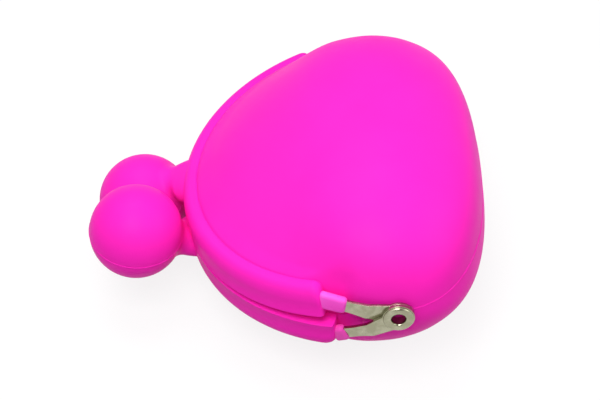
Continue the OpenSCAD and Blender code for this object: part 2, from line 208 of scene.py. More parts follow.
class PURSE_PG_finish(bpy.types.PropertyGroup):
    """Colours of the materials."""
    silicone: colour("Silicone", "The moulded silicone", (1.0, 0.021, 0.53))
    silicone_shade: colour("Silicone, deeper", "Its slightly deeper patches", (0.99, 0.016, 0.49))
    dust: colour("Dust", "The fine specks on the silicone", (1.0, 0.3, 0.75))
    sleeve: colour("Sleeve", "The thin silicone over the front legs", (1.0, 0.25, 1.0))
    # Partly painted shade: the skin over the back legs is darker for the shade it lies in, and also greyed by
    # the metal under it
    thin: colour("Thin skin, partly painted shade", "The skin over the back legs, greyed by the metal", (0.72, 0.16, 0.46))
    nickel: colour("Nickel", "The plated metal", (0.33, 0.325, 0.22))
    nickel_worn: colour("Nickel, worn", "The metal where it is rubbed", (0.45, 0.44, 0.32))
    core: colour("Core", "The plastic balls inside the knobs", (0.72, 0.72, 0.70))
    floor: colour("Floor", "The floor as it is seen", (0.95, 0.95, 0.95))
    flag: colour("Flag", "The dark card that the metal reflects", (0.06, 0.045, 0.04))
    floor_bounce: colour("Floor bounce", "What the floor throws back on the purse", (0.4, 0.4, 0.4))


class PURSE_PG_stage(bpy.types.PropertyGroup):
    """Camera and lights."""
    aim: FloatVectorProperty(name="Aim", description="Where the camera looks", size=3,
                             default=(0.00338, -0.00225, 0.02413), unit="LENGTH")
    distance: length("Distance", "Distance from the camera to its aim", 670.3, high=5)
    azimuth: angle("Azimuth", "Turn of the camera round the object", -2.629)
    elevation: angle("Elevation", "Height of the camera above the horizon", 43.626)
    roll: angle("Roll", "Turn of the camera about its view", 1.434)
    lens: FloatProperty(name="Lens", description="Focal length for a sensor 36 mm wide", default=155.95)
    key_power: power("Key power", "The broad light beside the camera", 4.0)
    fill_power: power("Fill power", "The broad light overhead", 2.2)
    side_power: power("Side power", "The light from the right", 1.2)
    room_light: FloatProperty(name="Room light", description="Strength of the light from all round",
                              default=0.35, min=0, max=2)


def enter(mode):
    """Goes to edit mode or to object mode."""
    bpy.ops.object.mode_set(mode=mode)


def select_only(*pieces):
    """In object mode, selects these pieces and nothing else. The first one is active."""
    if bpy.context.object and bpy.context.object.mode != "OBJECT":
        enter("OBJECT")
    bpy.ops.object.select_all(action="DESELECT")
    for piece in pieces:
        piece.select_set(True)
    if pieces:
        bpy.context.view_layer.objects.active = pieces[0]


def new_piece(name, adder, **values):
    """Adds a primitive, a light or a camera and names it."""
    select_only()
    adder(**values)
    piece = bpy.context.object
    piece.name = name
    piece.data.name = name
    return piece


def select_where(piece, test):
    """In edit mode, selects the vertices that pass the test."""
    enter("EDIT")
    bpy.ops.mesh.select_mode(type="VERT")
    bpy.ops.mesh.select_all(action="DESELECT")
    enter("OBJECT")
    for vertex in piece.data.vertices:
        vertex.select = test(vertex)
    enter("EDIT")


def turn_outwards():
    """Turns every face of the active piece outwards."""
    enter("EDIT")
    bpy.ops.mesh.select_all(action="SELECT")
    bpy.ops.mesh.normals_make_consistent(inside=False)
    enter("OBJECT")


def close_seams():
    """Merges the active piece's doubles and turns its faces outwards."""
    enter("EDIT")
    bpy.ops.mesh.select_mode(type="VERT")
    bpy.ops.mesh.select_all(action="SELECT")
    bpy.ops.mesh.remove_doubles(threshold=SEAM)
    turn_outwards()


def set_all(thing, values):
    """Sets properties by their names."""
    for key, value in values.items():
        setattr(thing, key, value)
    return thing


def add_modifier(piece, name, kind, **values):
    return set_all(piece.modifiers.new(name, kind), values)


def apply_modifier(piece, name, kind, **values):
    modifier = add_modifier(piece, name, kind, **values)
    bpy.context.view_layer.objects.active = piece
    bpy.ops.object.modifier_apply(modifier=modifier.name)


def place(piece, matrix):
    """Moves a piece by a matrix and applies that to its mesh."""
    select_only(piece)
    piece.matrix_world = matrix @ piece.matrix_world
    bpy.ops.object.transform_apply(location=True, rotation=True, scale=True)
    if matrix.determinant() < 0:
        turn_outwards()


def smooth(piece, degrees):
    """Shades a piece smooth across every edge that is less sharp than the angle."""
    select_only(piece)
    bpy.ops.object.shade_smooth_by_angle(angle=math.radians(degrees))


def finish_piece(piece, matrix, body, slot, *replaced, look=None, degrees=38):
    """Places and smooths a piece, then gives it the material of its look or else of its slot, puts it on its
    body and hides what it replaces.
    """
    place(piece, matrix)
    smooth(piece, degrees)
    piece.data.materials.clear()
    piece.data.materials.append(materials()[look or slot])
    if body:
        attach(piece, body)
    if replaced:
        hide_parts(*replaced)


def lathe(name, outline, steps):
    """Turns an outline of (radius, height) points about Z: drawn out from point to point, then spun."""
    piece = new_piece(name, bpy.ops.mesh.primitive_plane_add, size=MM)
    select_where(piece, lambda v: v.index > 0)
    bpy.ops.mesh.delete(type="VERT")
    enter("OBJECT")
    piece.data.vertices[0].co = (outline[0][0], 0, outline[0][1])
    enter("EDIT")
    bpy.ops.mesh.select_all(action="SELECT")
    for (r0, z0), (r1, z1) in zip(outline, outline[1:]):
        bpy.ops.mesh.extrude_region_move(TRANSFORM_OT_translate={"value": (r1 - r0, 0, z1 - z0)})
    bpy.ops.mesh.select_all(action="SELECT")
    bpy.ops.mesh.spin(steps=steps, angle=2 * math.pi, center=(0, 0, 0), axis=(0, 0, 1))
    close_seams()
    return piece


def arc(centre, radius, start, end, steps, tall=None):
    """Points (radius, height) along an arc, or an ellipse's where tall is given, with angles in degrees."""
    turns = [math.radians(start + (end - start) * i / steps) for i in range(steps + 1)]
    return [(centre[0] + radius * math.cos(turn), centre[1] + (tall or radius) * math.sin(turn))
            for turn in turns]


def mix(a, b, share):
    return a + (b - a) * share


def ease(share):
    share = max(0.0, min(1.0, share))
    return share * share * (3 - 2 * share)


def on_circle(radius, turn, height):
    """A point round a rim's circle, turned from the clasp."""
    return Vector((-radius * math.cos(turn), radius * math.sin(turn), height))


class Arch:
    """The frame of a rim: its centre lies in the closing face, and it leans so that the rims part."""

    def __init__(self, rims):
        crown = -rims.offset - rims.radius
        end = -rims.offset - rims.radius * math.cos(rims.front_half_angle)
        lean = math.atan((rims.gap_hinge - rims.gap_clasp) / 2 / (end - crown))
        self.matrix = (Matrix.Translation((crown, 0, rims.gap_clasp / 2))
                       @ Matrix.Rotation(-lean, 4, "Y") @ Matrix.Translation((rims.radius, 0, 0)))

    def point(self, x, y, z):
        return self.matrix @ Vector((x, y, z))


class Wall:
    """The pouch's outer face, given across from one hinge to the other and round from the base."""
    # The first rows cover most of the way round, the next ones the rest more finely, the last the tuck
    COARSE_ROWS = 0.6
    COARSE_WAY = 0.88
    RIM_ROWS = 0.92
    # How far from the rims' ends the columns count as beside them
    BESIDE = 14 * MM
    # Degrees from one reach to the next, and degrees over which one course eases into another
    STEP = 30
    EASING = 14
    # Slope of the wall's end beside the hinge, which keeps it off the closing plane
    SIDE_SLOPE = math.tan(math.radians(1.6))

    def __init__(self, pouch, rims, half_angle):
        self.pouch = pouch
        self.rims = rims
        self.arch = Arch(rims)
        self.turn_in = math.degrees(pouch.turn_in)
        self.side_turn_in = math.degrees(pouch.side_turn_in)
        self.side_turn = math.degrees(pouch.side_turn)
        self.inner = rims.radius - rims.width
        self.corner_y = self.inner * math.sin(half_angle)
        self.corner_x = -self.arch.point(-self.inner * math.cos(half_angle), 0, 0).x
        steps = list(pouch.reaches)
        self.reaches = [steps[1], *steps, 2 * steps[-1] - steps[-2]]

    def reach(self, phi):
        """Distance from the hinge axis at an angle round from the base, by a smooth curve."""
        k = min(len(self.reaches) - 4, int(phi / self.STEP))
        u = phi / self.STEP - k
        a, b, c, d = self.reaches[k:k + 4]
        return (b + u * (c - a) / 2 + u * u * (a - 2.5 * b + 2 * c - d / 2)
                + u ** 3 * (1.5 * (b - c) + (d - a) / 2))

    def share_at(self, y):
        n = self.pouch.squareness
        return max(0.0, 1 - (abs(y) / self.pouch.half_width) ** n) ** (1 / n)

    def ends(self, y):
        """Where the wall meets the rim's inner edge, and where it ends inside the rim."""
        share = ease((abs(y) - self.corner_y + self.pouch.side_ease / 4) / self.pouch.side_ease)
        # Beside the hinge the wall ends near the closing plane
        out = self.corner_x * self.share_at(y) / self.share_at(self.corner_y)
        side = Vector((-out, y, out * self.SIDE_SLOPE))
        tucked = self.inner + self.rims.tuck
        x = -math.sqrt(max(0.0, tucked ** 2 - y ** 2))
        top = self.arch.point(x, y, self.rims.height - self.rims.proud)
        low = self.arch.point(x, y, self.rims.tuck)
        return top.lerp(side, share), low.lerp(side, share), share

    def soft_least(self, a, b):
        """The lesser of two angles, with a smooth change between them."""
        h = max(0.0, self.EASING - abs(a - b)) / self.EASING
        return min(a, b) - h * h * self.EASING / 4

    def point(self, across, up):
        """A point of the face, at a share of the way across and a share of the way up to the rim."""
        c = -math.cos(math.pi * across)
        power = 2 / self.pouch.squareness
        y = self.pouch.half_width * math.copysign(abs(c) ** power, c)
        own = max(0.0, math.sin(math.pi * across)) ** power
        top, low, share = self.ends(y)
        # Beside the hinge there is no rim to rise to
        rise = self.pouch.valley_rise * (1 - share)
        if up > self.RIM_ROWS:
            top.z += rise
            return top.lerp(low, (up - self.RIM_ROWS) / (1 - self.RIM_ROWS))
        end_angle = math.degrees(math.atan2(top.z, top.x))
        stop = mix(end_angle + self.EASING, self.side_turn, share)
        if up < self.COARSE_ROWS:
            way = self.COARSE_WAY * up / self.COARSE_ROWS
        else:
            way = mix(self.COARSE_WAY, 1, (up - self.COARSE_ROWS) / (self.RIM_ROWS - self.COARSE_ROWS))
        phi = end_angle * way
        end_reach = own * self.reach(self.soft_least(end_angle, stop))
        beside = ease((abs(y) - self.corner_y + self.BESIDE) / self.BESIDE)
        turn_in = mix(self.turn_in, self.side_turn_in, beside)
        turned = ease((phi - turn_in) / (end_angle - turn_in))
        r = own * self.reach(self.soft_least(phi, stop))
        r += (math.hypot(top.x, top.z) - end_reach) * turned
        left = math.radians(end_angle - phi) * r
        rise *= ease(1 - left / self.pouch.valley_width)
        return Vector((r * math.cos(math.radians(phi)), y, r * math.sin(math.radians(phi)) + rise))


def shell(name, wall, across_steps=150, round_steps=80):
    """Half of the pouch: a grid laid on the wall's outer face, closed at the hinges and thickened inwards."""
    piece = new_piece(name, bpy.ops.mesh.primitive_grid_add, x_subdivisions=across_steps,
                      y_subdivisions=round_steps, size=1)
    for vertex in piece.data.vertices:
        vertex.co = wall.point(vertex.co.x + 0.5, vertex.co.y + 0.5)
    close_seams()
    face = max(piece.data.polygons, key=lambda p: p.center.z)
    if face.normal.z < 0:
        piece.data.flip_normals()
    apply_modifier(piece, "Wall", "SOLIDIFY", thickness=wall.pouch.wall, offset=-1)
    return piece


def parting_line(name, points, width):
    """A closed tube along points, for a raised mould line."""
    ring = new_piece(name, bpy.ops.mesh.primitive_circle_add, vertices=len(points), radius=MM)
    for vertex, point in zip(ring.data.vertices, points):
        vertex.co = point
    bpy.ops.object.convert(target="CURVE")
    set_all(bpy.context.object.data, {"bevel_depth": width / 2, "bevel_resolution": 2, "use_fill_caps": True})
    bpy.ops.object.convert(target="MESH")
    return bpy.context.object


class PurseOperator:
    """What the purse's operators share."""
    bl_options = {"REGISTER", "UNDO"}


class PURSE_OT_shells(PurseOperator, bpy.types.Operator):
    """Build the two halves of the pouch and the mould line between them"""
    bl_idname = "purse.shells"
    bl_label = "Pouch Shells"
    # The mould line stops this share of the pouch's width short of the hinges, and has this many steps
    LINE_START = 0.03
    LINE_STEPS = 120

    def execute(self, context):
        pouch = context.scene.purse_pouch
        rims = context.scene.purse_rims
        front_wall = Wall(pouch, rims, rims.front_half_angle)
        front = shell("pouch_front_wall", front_wall)
        back = shell("pouch_back_wall", Wall(pouch, rims, rims.back_half_angle))
        finish_piece(back, HALF[BACK], BACK, "silicone", "pouch_body")
        finish_piece(front, HALF[FRONT], None, "silicone", "pouch_front", "pouch_fold")
        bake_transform(front)
        # The mould line runs round the base in the closing plane, from one hinge to the other and back inside
        span = 1 - 2 * self.LINE_START
        outline = [front_wall.point(self.LINE_START + span * i / self.LINE_STEPS, 0)
                   for i in range(self.LINE_STEPS + 1)]
        sink = pouch.line_width / 2 - pouch.line_proud
        outer = [p - p.normalized() * sink for p in outline]
        inner = [p - p.normalized() * 2 * sink for p in reversed(outline)]
        line = parting_line("pouch_parting_line", outer + inner, pouch.line_width)
        finish_piece(line, PURSE, BACK, "silicone")
        return {"FINISHED"}


class PURSE_OT_webs(PurseOperator, bpy.types.Operator):
    """Build the stretching silicone webs beside the hinges"""
    bl_idname = "purse.webs"
    bl_label = "Side Webs"
    # How far before the rims' ends a web starts, and a share of its height
    START = 2 * MM
    BENDING = 0.8

    def execute(self, context):
        pouch = context.scene.purse_pouch
        rims = context.scene.purse_rims
        wall = Wall(pouch, rims, rims.front_half_angle)
        inset = 1 - pouch.wall / 2 / pouch.half_width
        for side, name, replaced in ((1, "side_web_left", ["side_gussets"]), (-1, "side_web_right", [])):
            web = new_piece(name, bpy.ops.mesh.primitive_grid_add, x_subdivisions=36, y_subdivisions=30,
                            size=1)
            for vertex in web.data.vertices:
                share = vertex.co.x + 0.5
                height = 2 * vertex.co.y
                y = mix(wall.corner_y - self.START, pouch.half_width, 1 - (1 - share) ** 2)
                plan = wall.ends(y)[1]
                vertex.co = (plan.x * inset, side * y * inset, pouch.web_height * height)
            close_seams()
            apply_modifier(web, "Web", "SOLIDIFY", thickness=pouch.web_thickness, offset=0)
            finish_piece(web, PURSE, None, "silicone", *replaced)
            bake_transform(web)
        return {"FINISHED"}


class PURSE_OT_rims(PurseOperator, bpy.types.Operator):
    """Build the two thick rims that hold the metal frame"""
    bl_idname = "purse.rims"
    bl_label = "Rims"
    # The steps round the arch crowd towards its ends, as a sine's do up to this angle
    CROWDING = 0.48 * math.pi
    ARCH_STEPS = 120
    CROWN_STEPS = 12
    EDGE_STEPS = 5
    FOOT_STEPS = 3

    def execute(self, context):
        rims = context.scene.purse_rims
        for body, name, half_angle, end in ((FRONT, "front_rim", rims.front_half_angle, rims.front_end),
                                            (BACK, "back_rim", rims.back_half_angle, rims.back_end)):
            rim = self.rim(name + "_moulding", rims, half_angle)
            self.round_ends(rim, rims, half_angle, end)
            finish_piece(rim, HALF[body] @ Arch(rims).matrix, body, "silicone", name, degrees=50)
        return {"FINISHED"}

    def section(self, rims):
        """The rim's outline as (radius, height): a thin lip, a broad outer crown and a small inner edge."""
        outer = rims.radius
        inner = outer - rims.width
        outline = [(outer, rims.lip_height + 2 * rims.lip)]
        outline += arc((outer - rims.crown, rims.height - rims.crown_height), rims.crown, 0, 90,
                       self.CROWN_STEPS, rims.crown_height)
        outline += arc((inner + rims.edge, rims.height - rims.edge), rims.edge, 90, 180, self.EDGE_STEPS)
        outline += arc((inner + rims.foot, rims.foot), rims.foot, 180, 270, self.FOOT_STEPS)
        outline += [(outer, 0), (outer + rims.lip, rims.foot / 2), (outer + rims.lip, rims.lip_height)]
        return outline

    def rim(self, name, rims, half_angle):
        """The filled outline, spun round the arch from one end to the other."""
        outline = self.section(rims)
        rim = new_piece(name, bpy.ops.mesh.primitive_circle_add, vertices=len(outline), radius=MM,
                        fill_type="NGON")
        for vertex, (radius, height) in zip(rim.data.vertices, outline):
            vertex.co = on_circle(radius, half_angle, height)
        enter("EDIT")
        bpy.ops.mesh.select_all(action="SELECT")
        bpy.ops.mesh.spin(steps=self.ARCH_STEPS, angle=2 * half_angle, center=(0, 0, 0), axis=(0, 0, -1))
        close_seams()
        return rim

    @staticmethod
    def lost(left, radius):
        """How much a rounding of a radius takes off, at a distance left to the end."""
        return radius - math.sqrt(radius ** 2 - (radius - left) ** 2) if left < radius else 0.0

    def round_ends(self, rim, rims, half_angle, end):
        """Crowds the steps towards the ends and rounds the ends off, from the side and from above."""
        middle_radius = rims.radius - rims.width / 2
        for vertex in rim.data.vertices:
            x, y, height = vertex.co
            radius = math.hypot(x, y)
            share = math.atan2(y, -x) / half_angle
            share = math.sin(share * self.CROWDING) / math.sin(self.CROWDING)
            left = max(0.0, 1 - abs(share)) * half_angle * middle_radius
            height *= 1 - self.lost(left, end) / rims.height
            radius = mix(radius, middle_radius, 2 * self.lost(left, rims.end_side) / rims.width)
            vertex.co = on_circle(radius, share * half_angle, height)


class PURSE_OT_knobs(PurseOperator, bpy.types.Operator):
    """Build the two snap knobs with their necks"""
    bl_idname = "purse.knobs"
    bl_label = "Snap Knobs"
    # Steps of the ball's outline, of the hollow and round the knob, and rows of the neck, 1 mm apart
    BALL_STEPS = 44
    HOLLOW_STEPS = 8
    TURN_STEPS = 96
    NECK_ROWS = 9

    def execute(self, context):
        scene = context.scene
        for body, name in ((FRONT, "front_knob"), (BACK, "back_knob")):
            centre = HALF[body].inverted() @ middle(name + "_core")
            knob = self.knob(name + "_skin", scene.purse_pouch, scene.purse_rims, scene.purse_clasp, centre)
            finish_piece(knob, HALF[body], body, "silicone", name, degrees=60)
        return {"FINISHED"}

    def knob(self, name, pouch, rims, clasp, centre):
        """A ball turned with its neck, whose root is spread along the rim, and a raised mould line."""
        arch = Arch(rims)
        turn = math.atan2(centre.y, -centre.x - rims.offset)
        foot = arch.matrix @ on_circle(rims.radius - rims.strip_depth, turn, rims.height / 2)
        axis = (foot - centre).normalized()
        root = arch.matrix @ on_circle(rims.radius - clasp.root_sink, turn, rims.height / 2)
        along = Vector((math.sin(turn), math.cos(turn), 0))
        up = arch.matrix.to_3x3() @ Vector((0, 0, 1))
        side = (along - axis * along.dot(axis)).normalized()
        other = axis.cross(side)
        stem = Matrix.Translation(centre) @ Matrix((side, other, axis)).transposed().to_4x4()
        ball = clasp.knob_radius
        neck = clasp.neck_radius
        hollow = clasp.ball_fillet
        # The hollow's circle touches the ball and the neck's side
        height = math.sqrt((ball + hollow) ** 2 - (neck + hollow) ** 2)
        touch = math.degrees(math.atan2(height, neck + hollow))
        outline = arc((0, 0), ball, -90, touch, self.BALL_STEPS)
        outline += arc((neck + hollow, height), hollow, touch + 180, 180, self.HOLLOW_STEPS)[1:]
        outline += [(neck, height + MM * i) for i in range(1, self.NECK_ROWS + 1)]
        outline.append((0.0, height + MM * self.NECK_ROWS))
        knob = lathe(name, outline, self.TURN_STEPS)
        place(knob, stem)
        away = -1 if other.dot(up) < 0 else 1
        start = centre + axis * height
        hollow_start = ball * math.sin(math.radians(touch))
        for vertex in knob.data.vertices:
            local = stem.inverted() @ vertex.co
            inner = local.x < 0
            row = round((local.z - height) / MM)
            if row < 1:
                # The hollow widens on its inner side, from nothing at the ball to the neck's own width
                way = max(0.0, (local.z - hollow_start) / (height - hollow_start))
                if inner and way > 0:
                    local.x *= mix(1, clasp.neck_inner / neck, way * way)
                    vertex.co = stem @ local
                continue
            # The neck's round rows change by steps into the root's wide one
            share = row / self.NECK_ROWS
            spread = share if inner else share * share
            across = local.x / neck
            over = local.y / neck
            spread_width = clasp.root_inner_width if inner else clasp.root_outer_width
            wide = along * spread_width * across + up * clasp.root_half_height * over * away
            neck_width = clasp.neck_inner if inner else neck
            round_neck = side * across * neck_width + other * over * neck
            vertex.co = start.lerp(root, share) + round_neck.lerp(wide, spread)
        line = new_piece(name + "_line", bpy.ops.mesh.primitive_torus_add, major_segments=128,
                         minor_segments=8, major_radius=ball - pouch.line_width / 2 + pouch.line_proud,
                         minor_radius=pouch.line_width / 2)
        lean = Matrix.Rotation(clasp.line_lean, 4, "Y") @ Matrix.Rotation(clasp.line_roll, 4, "X")
        place(line, Matrix.Translation(centre) @ lean)
        select_only(knob, line)
        bpy.ops.object.join()
        return knob


class PURSE_OT_sleeves(PurseOperator, bpy.types.Operator):
    """Build the thin sleeves that run from the rims onto the legs"""
    bl_idname = "purse.sleeves"
    bl_label = "Leg Sleeves"
    # A sleeve is drawn in at its tip to this share of its thickness and width
    TIP = (1, 0.94, 0.95)

    def execute(self, context):
        rims = context.scene.purse_rims
        hinge = context.scene.purse_hinge
        for body, half_angle, tip, stem, look in (
                (FRONT, rims.front_half_angle, hinge.front_sleeve_tip, "front", "sleeve"),
                # The back sleeves take the thin silicone, whose colour is partly painted shade and partly the
                # metal showing through
                (BACK, rims.back_half_angle, hinge.back_sleeve_tip, "back", "thin")):
            eye_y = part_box(stem + "_frame_legs")[1].y - hinge.strip_thickness / 2
            root, span = self.root(rims, hinge, eye_y, half_angle)
            for side in (1, -1):
                # The back half lies turned over, so its +Y side is the front half's -Y side
                left = side > 0 if body == FRONT else side < 0
                name = f"{stem}_sleeve_{'left' if left else 'right'}"
                sleeve = self.sleeve(name + "_skin", hinge, span - tip + hinge.sleeve_root)
                spot = HALF[body] @ Matrix.Diagonal((1, side, 1, 1)) @ root
                finish_piece(sleeve, spot, body, "pale_silicone", name, look=look, degrees=60)
        return {"FINISHED"}

    def root(self, rims, hinge, eye_y, half_angle):
        """The frame of a sleeve's root in the front half, X along the leg, and the leg's span to the axis."""
        foot = Arch(rims).matrix @ on_circle(rims.radius - rims.strip_depth, half_angle, rims.height / 2)
        foot_reach = math.hypot(foot.x, foot.z)
        slope = math.atan2(foot.z, -foot.x) - math.asin(hinge.leg_offset / foot_reach)
        span = math.sqrt(foot_reach ** 2 - hinge.leg_offset ** 2)
        toe = math.atan2(eye_y - foot.y, span - hinge.eye_flat)
        stretch = (span - hinge.eye_flat) / math.cos(toe)
        matrix = (Matrix.Rotation(math.pi + slope, 4, "Y")
                  @ Matrix.Translation((hinge.eye_flat, eye_y, -hinge.leg_offset))
                  @ Matrix.Rotation(-toe, 4, "Z") @ Matrix.Translation((stretch + hinge.sleeve_root, 0, 0)))
        return matrix, span

    def sleeve(self, name, hinge, reach):
        """A flat tube, rounded along its edges and drawn in a little at its tip. Its root is at X 0."""
        sleeve = new_piece(name, bpy.ops.mesh.primitive_cube_add, size=1, location=(-0.5, 0, 0))
        bpy.ops.object.transform_apply(location=True)
        place(sleeve, Matrix.Diagonal((reach, hinge.sleeve_thickness, hinge.sleeve_width, 1)))
        select_where(sleeve, lambda v: v.co.x < -reach / 2)
        bpy.ops.transform.resize(value=self.TIP)
        enter("OBJECT")
        apply_modifier(sleeve, "Edges", "BEVEL", width=hinge.sleeve_edge, segments=5, limit_method="ANGLE")
        return sleeve


class PURSE_OT_rivets(PurseOperator, bpy.types.Operator):
    """Build the hollow rivets of the two hinges"""
    bl_idname = "purse.rivets"
    bl_label = "Hinge Rivets"
    RING_STEPS = 18
    TURN_STEPS = 72

    def execute(self, context):
        for side, name in ((1, "hinge_rivet_left"), (-1, "hinge_rivet_right")):
            low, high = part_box(name)
            near, far = sorted((abs(low.y), abs(high.y)))
            rivet = self.rivet(name + "_eyelet", context.scene.purse_hinge, near, far)
            turn = Matrix.Diagonal((1, side, 1, 1)) @ Matrix.Rotation(-math.pi / 2, 4, "X")
            finish_piece(rivet, PURSE @ turn, BACK, "steel", name, degrees=50)
        return {"FINISHED"}

    def rivet(self, name, hinge, near, far):
        """A barrel with a flat inner flange and a rolled, domed outer flange, turned about its bore."""
        bore = hinge.bore_radius
        barrel = bore + hinge.rivet_wall
        shelf = near + hinge.inner_flange_height
        under = far - hinge.flange_height
        # The swaged flange is a broad rounded ring, from its outer edge to the mouth of the bore
        skirt = under + hinge.flange_edge
        ring = (hinge.flange_radius - bore) / 2
        outline = [(bore, near), (hinge.inner_flange_radius, near), (hinge.inner_flange_radius, shelf),
                   (barrel, shelf), (barrel, under), (hinge.flange_radius, under),
                   *arc((bore + ring, skirt), ring, 0, 180, self.RING_STEPS, far - skirt), (bore, near)]
        return lathe(name, outline, self.TURN_STEPS)


class PURSE_OT_metalwork(PurseOperator, bpy.types.Operator):
    """Round the stamped edges of the frame and give the metal and inner pieces their finish"""
    bl_idname = "purse.metalwork"
    bl_label = "Metalwork"
    STEEL = ("front_frame_arch", "front_frame_legs", "front_stem",
             "back_frame_arch", "back_frame_legs", "back_stem")
    CORES = ("front_knob_core", "back_knob_core")
    # Vertices closer than this are merged, and edges sharper than this are rounded
    WELD = 0.002 * MM
    SHARP = math.radians(50)

    def execute(self, context):
        for name in self.STEEL + self.CORES:
            node = frame["nodes"][name]
            look = "steel" if name in self.STEEL else "core"
            node.data.materials.clear()
            node.data.materials.append(materials()[look])
            if look == "steel":
                add_modifier(node, "Weld", "WELD", merge_threshold=self.WELD)
                add_modifier(node, "Edges", "BEVEL", width=context.scene.purse_hinge.strip_edge, segments=3,
                             limit_method="ANGLE", angle_limit=self.SHARP)
                smooth(node, 30)
        return {"FINISHED"}


def link_or_set(tree, value, socket):
    """Links another node's socket to this one, or gives this one a value."""
    if isinstance(value, bpy.types.NodeSocket):
        tree.links.new(value, socket)
    else:
        socket.default_value = value


def add_node(tree, kind, inputs=None, **values):
    """Adds a shader node, sets its properties and gives its inputs values or links."""
    node = set_all(tree.nodes.new(kind), values)
    for key, value in (inputs or {}).items():
        link_or_set(tree, value, node.inputs[key])
    return node


def noise(tree, vector, scale, detail):
    """A noise pattern. Its scale is in repeats a metre."""
    inputs = {"Vector": vector, "Scale": scale, "Detail": detail}
    return add_node(tree, "ShaderNodeTexNoise", inputs).outputs["Fac"]


def spread(tree, value, **ends):
    """A value taken from one range to another. The ends are the node's own, with _ for a space."""
    inputs = {key.replace("_", " "): end for key, end in ends.items()}
    return add_node(tree, "ShaderNodeMapRange", {"Value": value, **inputs}).outputs["Result"]


def calculate(tree, operation, first, second):
    return add_node(tree, "ShaderNodeMath", {0: first, 1: second}, operation=operation).outputs[0]


def mix_colours(tree, share, first, second):
    """The colour at a share of the way from one to the other."""
    node = add_node(tree, "ShaderNodeMix", {"Factor": share}, data_type="RGBA")
    ends = [socket for socket in node.inputs if socket.type == "RGBA"]
    link_or_set(tree, first, ends[0])
    link_or_set(tree, second, ends[1])
    return next(socket for socket in node.outputs if socket.type == "RGBA")


def new_group(name, colours, values):
    """A node group that takes colours and values, with what it is given and the place on the piece."""
    group = bpy.data.node_groups.new(name, "ShaderNodeTree")
    for key in colours:
        group.interface.new_socket(name=key, in_out="INPUT", socket_type="NodeSocketColor")
    for key, value in values.items():
        socket = group.interface.new_socket(name=key, in_out="INPUT", socket_type="NodeSocketFloat")
        socket.default_value = value
    for key, kind in (("Colour", "Color"), ("Roughness", "Float"), ("Normal", "Vector")):
        group.interface.new_socket(name=key, in_out="OUTPUT", socket_type="NodeSocket" + kind)
    given = add_node(group, "NodeGroupInput").outputs
    return group, given, add_node(group, "ShaderNodeTexCoord").outputs["Object"]


def put_out(group, colour, roughness, relief, strength, depth):
    """Ends a node group with its colour, its roughness and the normal of its relief."""
    bump = add_node(group, "ShaderNodeBump", {"Height": relief, "Strength": strength, "Distance": depth})
    add_node(group, "NodeGroupOutput", {"Colour": colour, "Roughness": roughness, "Normal": bump.outputs[0]})
    return group


def silicone_group():
    """Moulded silicone: faint cloudy tone, a fine matte grain and a few pale specks of dust."""
    group, given, where = new_group("Moulded Silicone", ("Colour", "Deeper Colour", "Dust Colour"),
                                    {"Dust": 0.5, "Roughness": 0.5, "Grain": 0.1})
    cloudy = spread(group, noise(group, where, scale=32, detail=3), From_Min=0.35, From_Max=0.7)
    tone = mix_colours(group, cloudy, given["Colour"], given["Deeper Colour"])
    # Specks: the few cells of a fine pattern whose own random value is high
    rare = 0.982
    cells = add_node(group, "ShaderNodeTexVoronoi", {"Vector": where, "Scale": 420, "Randomness": 1}).outputs
    dot = spread(group, cells["Distance"], From_Min=0.13, From_Max=0.05)
    dust = calculate(group, "MULTIPLY", dot, calculate(group, "GREATER_THAN", cells["Color"], rare))
    dusty = calculate(group, "MULTIPLY", dust, given["Dust"])
    swing = spread(group, noise(group, where, scale=75, detail=4), To_Min=-0.07, To_Max=0.07)
    fine = noise(group, where, scale=2400, detail=2)
    broad = noise(group, where, scale=190, detail=2)
    return put_out(group, mix_colours(group, dusty, tone, given["Dust Colour"]),
                   calculate(group, "ADD", given["Roughness"], swing), calculate(group, "ADD", fine, broad),
                   strength=given["Grain"], depth=0.06 * MM)


def plating_group():
    """Tumbled nickel plate: cloudy tone, rubbed patches, fine scratches and shallow dents."""
    group, given, where = new_group("Tumbled Plating", ("Colour", "Worn Colour"), {"Roughness": 0.3})
    cloud = noise(group, where, scale=420, detail=5)
    worn = spread(group, cloud, From_Min=0.42, From_Max=0.72)
    swing = spread(group, cloud, To_Min=-0.09, To_Max=0.12)
    # The scratches are a fine noise that is drawn out along X
    drawn_out = add_node(group, "ShaderNodeMapping", {"Vector": where, "Scale": (0.08, 1.0, 1.0)}).outputs[0]
    scratches = noise(group, drawn_out, scale=4200, detail=3)
    dents = noise(group, where, scale=900, detail=2)
    return put_out(group, mix_colours(group, worn, given["Colour"], given["Worn Colour"]),
                   calculate(group, "ADD", given["Roughness"], swing),
                   calculate(group, "ADD", scratches, dents), strength=0.35, depth=0.03 * MM)


def new_material(name, group, inputs, **constants):
    """A material whose Principled BSDF takes colour, roughness and normal from a node group."""
    material = bpy.data.materials.new(name)
    material.use_nodes = True
    tree = material.node_tree
    shader = tree.nodes["Principled BSDF"]
    effect = add_node(tree, "ShaderNodeGroup", node_tree=group)
    for key, value in inputs.items():
        socket = effect.inputs[key]
        socket.default_value = (*value, 1.0) if socket.type == "RGBA" else value
    for key, end in (("Colour", "Base Color"), ("Roughness", "Roughness"), ("Normal", "Normal")):
        tree.links.new(effect.outputs[key], shader.inputs[end])
    for key, value in constants.items():
        shader.inputs[key.replace("_", " ")].default_value = value
    return material


